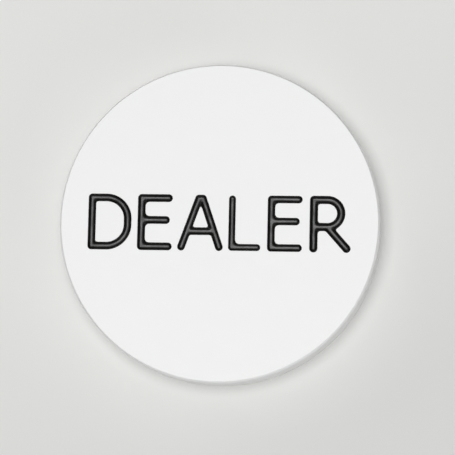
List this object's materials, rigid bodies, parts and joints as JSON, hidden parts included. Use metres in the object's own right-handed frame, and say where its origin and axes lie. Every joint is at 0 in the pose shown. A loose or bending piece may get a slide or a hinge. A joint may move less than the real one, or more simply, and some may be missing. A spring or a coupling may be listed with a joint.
{
  "type": "dealer button",
  "caption": "Solid white plastic disc with bevelled edges and the game role's word engraved in both faces, the letters lined with black enamel.",
  "frame": {"origin": "centre of the lower face, on the disc's axis, at the surface that the disc lies on", "axes": "+Z is the disc's axis, up out of the upper face; +X is the reading direction of the upper face's word; +Y points to the tops of its letters"},
  "size_m": [0.0508, 0.0508, 0.0095],
  "materials": {
    "white_plastic": "white acrylic sheet, turned and lightly polished, satin to gloss",
    "black_enamel": "glossy black enamel paint, brushed into the cuts and wiped level with the face"
  },
  "bodies": {
    "root": {"puck": "white_plastic", "front_letter_1_d": "black_enamel", "front_letter_2_e": "black_enamel", "front_letter_3_a": "black_enamel", "front_letter_4_l": "black_enamel", "front_letter_5_e": "black_enamel", "front_letter_6_r": "black_enamel", "back_letter_1_d": "black_enamel", "back_letter_2_e": "black_enamel", "back_letter_3_a": "black_enamel", "back_letter_4_l": "black_enamel", "back_letter_5_e": "black_enamel", "back_letter_6_r": "black_enamel"}
  },
  "joints": []
}
